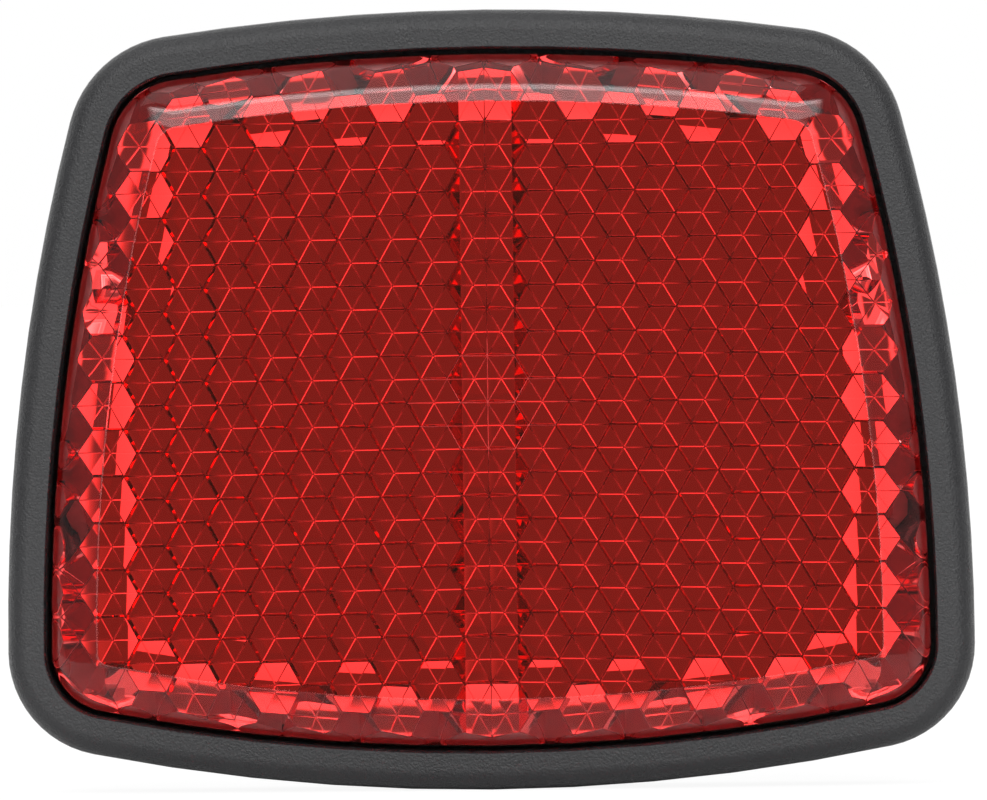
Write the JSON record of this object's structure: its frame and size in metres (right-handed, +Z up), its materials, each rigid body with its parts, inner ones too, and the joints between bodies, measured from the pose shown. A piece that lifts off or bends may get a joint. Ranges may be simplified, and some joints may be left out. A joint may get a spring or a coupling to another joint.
{
  "type": "bicycle rear reflector",
  "caption": "Red prism reflector in a black frame with bowed sides, wider below than above, fixed from behind by a threaded stud with washers and a nut.",
  "frame": {"origin": "middle of the seat on the back boss, on the axis of the stud", "axes": "+X to the right as seen from in front of the lens, +Y backwards along the stud, +Z up; the lens faces -Y"},
  "size_m": [0.062, 0.0265, 0.05],
  "materials": {
    "red_lens": "polished clear red acrylic",
    "black_plastic": "fine spark-eroded grain",
    "zinc_steel": "bright zinc plating",
    "spring_steel": "zinc plated, duller"
  },
  "bodies": {
    "root": {"lens": "red_lens", "housing": "black_plastic", "mounting_bolt": "zinc_steel", "flat_washer": "zinc_steel", "lock_washer": "spring_steel", "hex_nut": "zinc_steel"}
  },
  "joints": []
}
